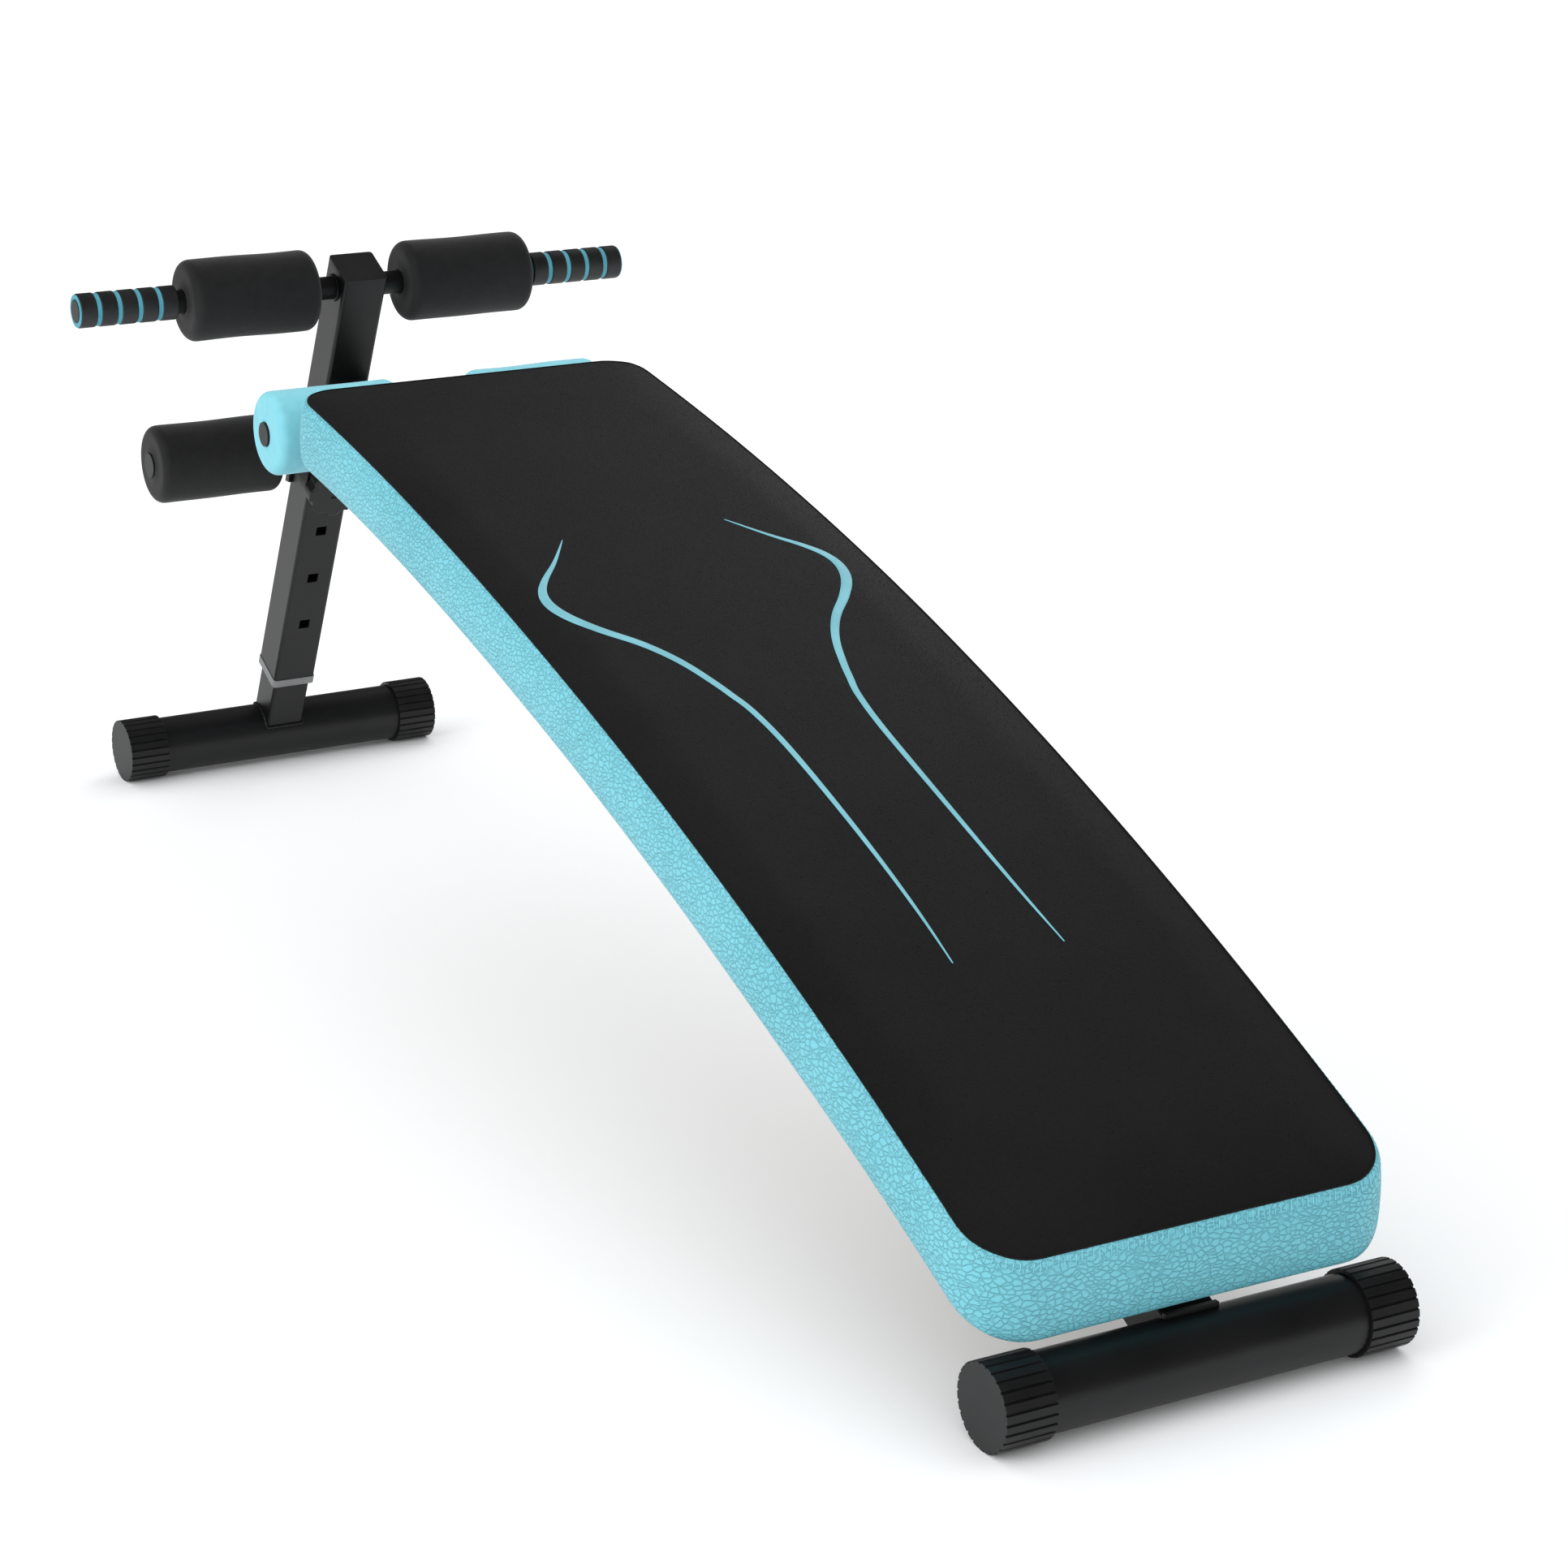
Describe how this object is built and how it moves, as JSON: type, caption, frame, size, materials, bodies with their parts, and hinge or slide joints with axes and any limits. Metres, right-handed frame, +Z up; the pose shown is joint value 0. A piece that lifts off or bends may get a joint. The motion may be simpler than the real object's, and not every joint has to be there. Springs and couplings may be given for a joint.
{
  "type": "decline sit up bench",
  "caption": "Decline sit-up bench with a curved padded board, foam leg rollers, gripped handlebar and a telescoping rear leg with a locking knob.",
  "frame": {"origin": "on the floor under the middle of the bench: bottom centre of the overall box", "axes": "+Z up; +Y along the bench from the low head end to the post; +X to the right for someone who stands behind the low end and looks at the post"},
  "size_m": [0.5068, 1.5938, 0.5285],
  "materials": {
    "black_paint": "gloss black powder coat",
    "black_plastic": "fine-grained moulded plastic",
    "grey_plastic": "smooth moulded nylon",
    "zinc_steel": "zinc plated",
    "black_foam": "closed-cell foam skin",
    "cyan_foam": "closed-cell foam skin",
    "black_rubber": "moulded rubber",
    "cyan_rubber": "moulded rubber",
    "black_vinyl": "fine-grained vinyl",
    "cyan_vinyl": "coarse-grained vinyl",
    "plywood": "raw plywood"
  },
  "bodies": {
    "rear_leg": {"rear_foot_tube": "black_paint", "rear_cap_left": "black_plastic", "rear_cap_right": "black_plastic", "leg_tube": "black_paint", "leg_glide": "black_plastic"},
    "frame": {"front_foot_tube": "black_paint", "front_cap_left": "black_plastic", "front_cap_right": "black_plastic", "main_beam": "black_paint", "beam_front_cap": "black_paint", "post_tube": "black_paint", "post_top_cap": "black_plastic", "post_bushing": "grey_plastic", "post_bracket": "black_paint", "bracket_bolts": "zinc_steel", "bracket_nuts": "zinc_steel", "bracket_washers": "zinc_steel", "ankle_bar_lugs": "black_paint", "ankle_bar": "black_paint", "ankle_bar_plugs": "black_plastic", "knee_bar": "black_paint", "knee_bar_plugs": "black_plastic", "handlebar": "black_paint", "handlebar_plugs": "black_plastic", "grip_core_left": "cyan_rubber", "grip_core_right": "cyan_rubber", "grip_bands_left": "black_rubber", "grip_bands_right": "black_rubber", "pad_top_panel": "black_vinyl", "pad_cushion": "cyan_vinyl", "pad_board": "plywood", "pad_plates": "black_paint", "pad_screws": "zinc_steel", "knob_washer": "black_plastic", "clamp_nut": "zinc_steel"},
    "locking_knob": {"star_knob": "black_plastic", "knob_insert": "black_plastic", "knob_stud": "zinc_steel"},
    "upper_roller_left": {"upper_roller_left": "black_foam", "upper_sleeve_left": "black_plastic"},
    "upper_roller_right": {"upper_roller_right": "black_foam", "upper_sleeve_right": "black_plastic"},
    "ankle_roller_left": {"ankle_roller_left": "black_foam", "ankle_sleeve_left": "black_plastic"},
    "ankle_roller_right": {"ankle_roller_right": "black_foam", "ankle_sleeve_right": "black_plastic"},
    "knee_roller_left": {"knee_roller_left": "cyan_foam", "knee_sleeve_left": "black_plastic"},
    "knee_roller_right": {"knee_roller_right": "cyan_foam", "knee_sleeve_right": "black_plastic"}
  },
  "joints": [
    {"name": "leg_extension", "type": "slide", "parent": "rear_leg", "child": "frame", "axis": [0, -0.454, 0.891], "range_m": [0, 0.168]},
    {"name": "knob_turn", "type": "hinge", "parent": "frame", "child": "locking_knob", "pos_m": [0, 0.60627, 0.30217], "axis": [0, -0.891, -0.454], "continuous": true},
    {"name": "upper_roller_left_spin", "type": "hinge", "parent": "frame", "child": "upper_roller_left", "pos_m": [-0.0925, 0.53124, 0.49346], "axis": [1, 0, 0], "continuous": true},
    {"name": "upper_roller_right_spin", "type": "hinge", "parent": "frame", "child": "upper_roller_right", "pos_m": [0.0925, 0.53124, 0.49346], "axis": [1, 0, 0], "continuous": true},
    {"name": "ankle_roller_left_spin", "type": "hinge", "parent": "frame", "child": "ankle_roller_left", "pos_m": [-0.0925, 0.65448, 0.32561], "axis": [1, 0, 0], "continuous": true},
    {"name": "ankle_roller_right_spin", "type": "hinge", "parent": "frame", "child": "ankle_roller_right", "pos_m": [0.0925, 0.65448, 0.32561], "axis": [1, 0, 0], "continuous": true},
    {"name": "knee_roller_left_spin", "type": "hinge", "parent": "frame", "child": "knee_roller_left", "pos_m": [-0.0925, 0.36906, 0.40859], "axis": [1, 0, 0], "continuous": true},
    {"name": "knee_roller_right_spin", "type": "hinge", "parent": "frame", "child": "knee_roller_right", "pos_m": [0.0925, 0.36906, 0.40859], "axis": [1, 0, 0], "continuous": true}
  ]
}
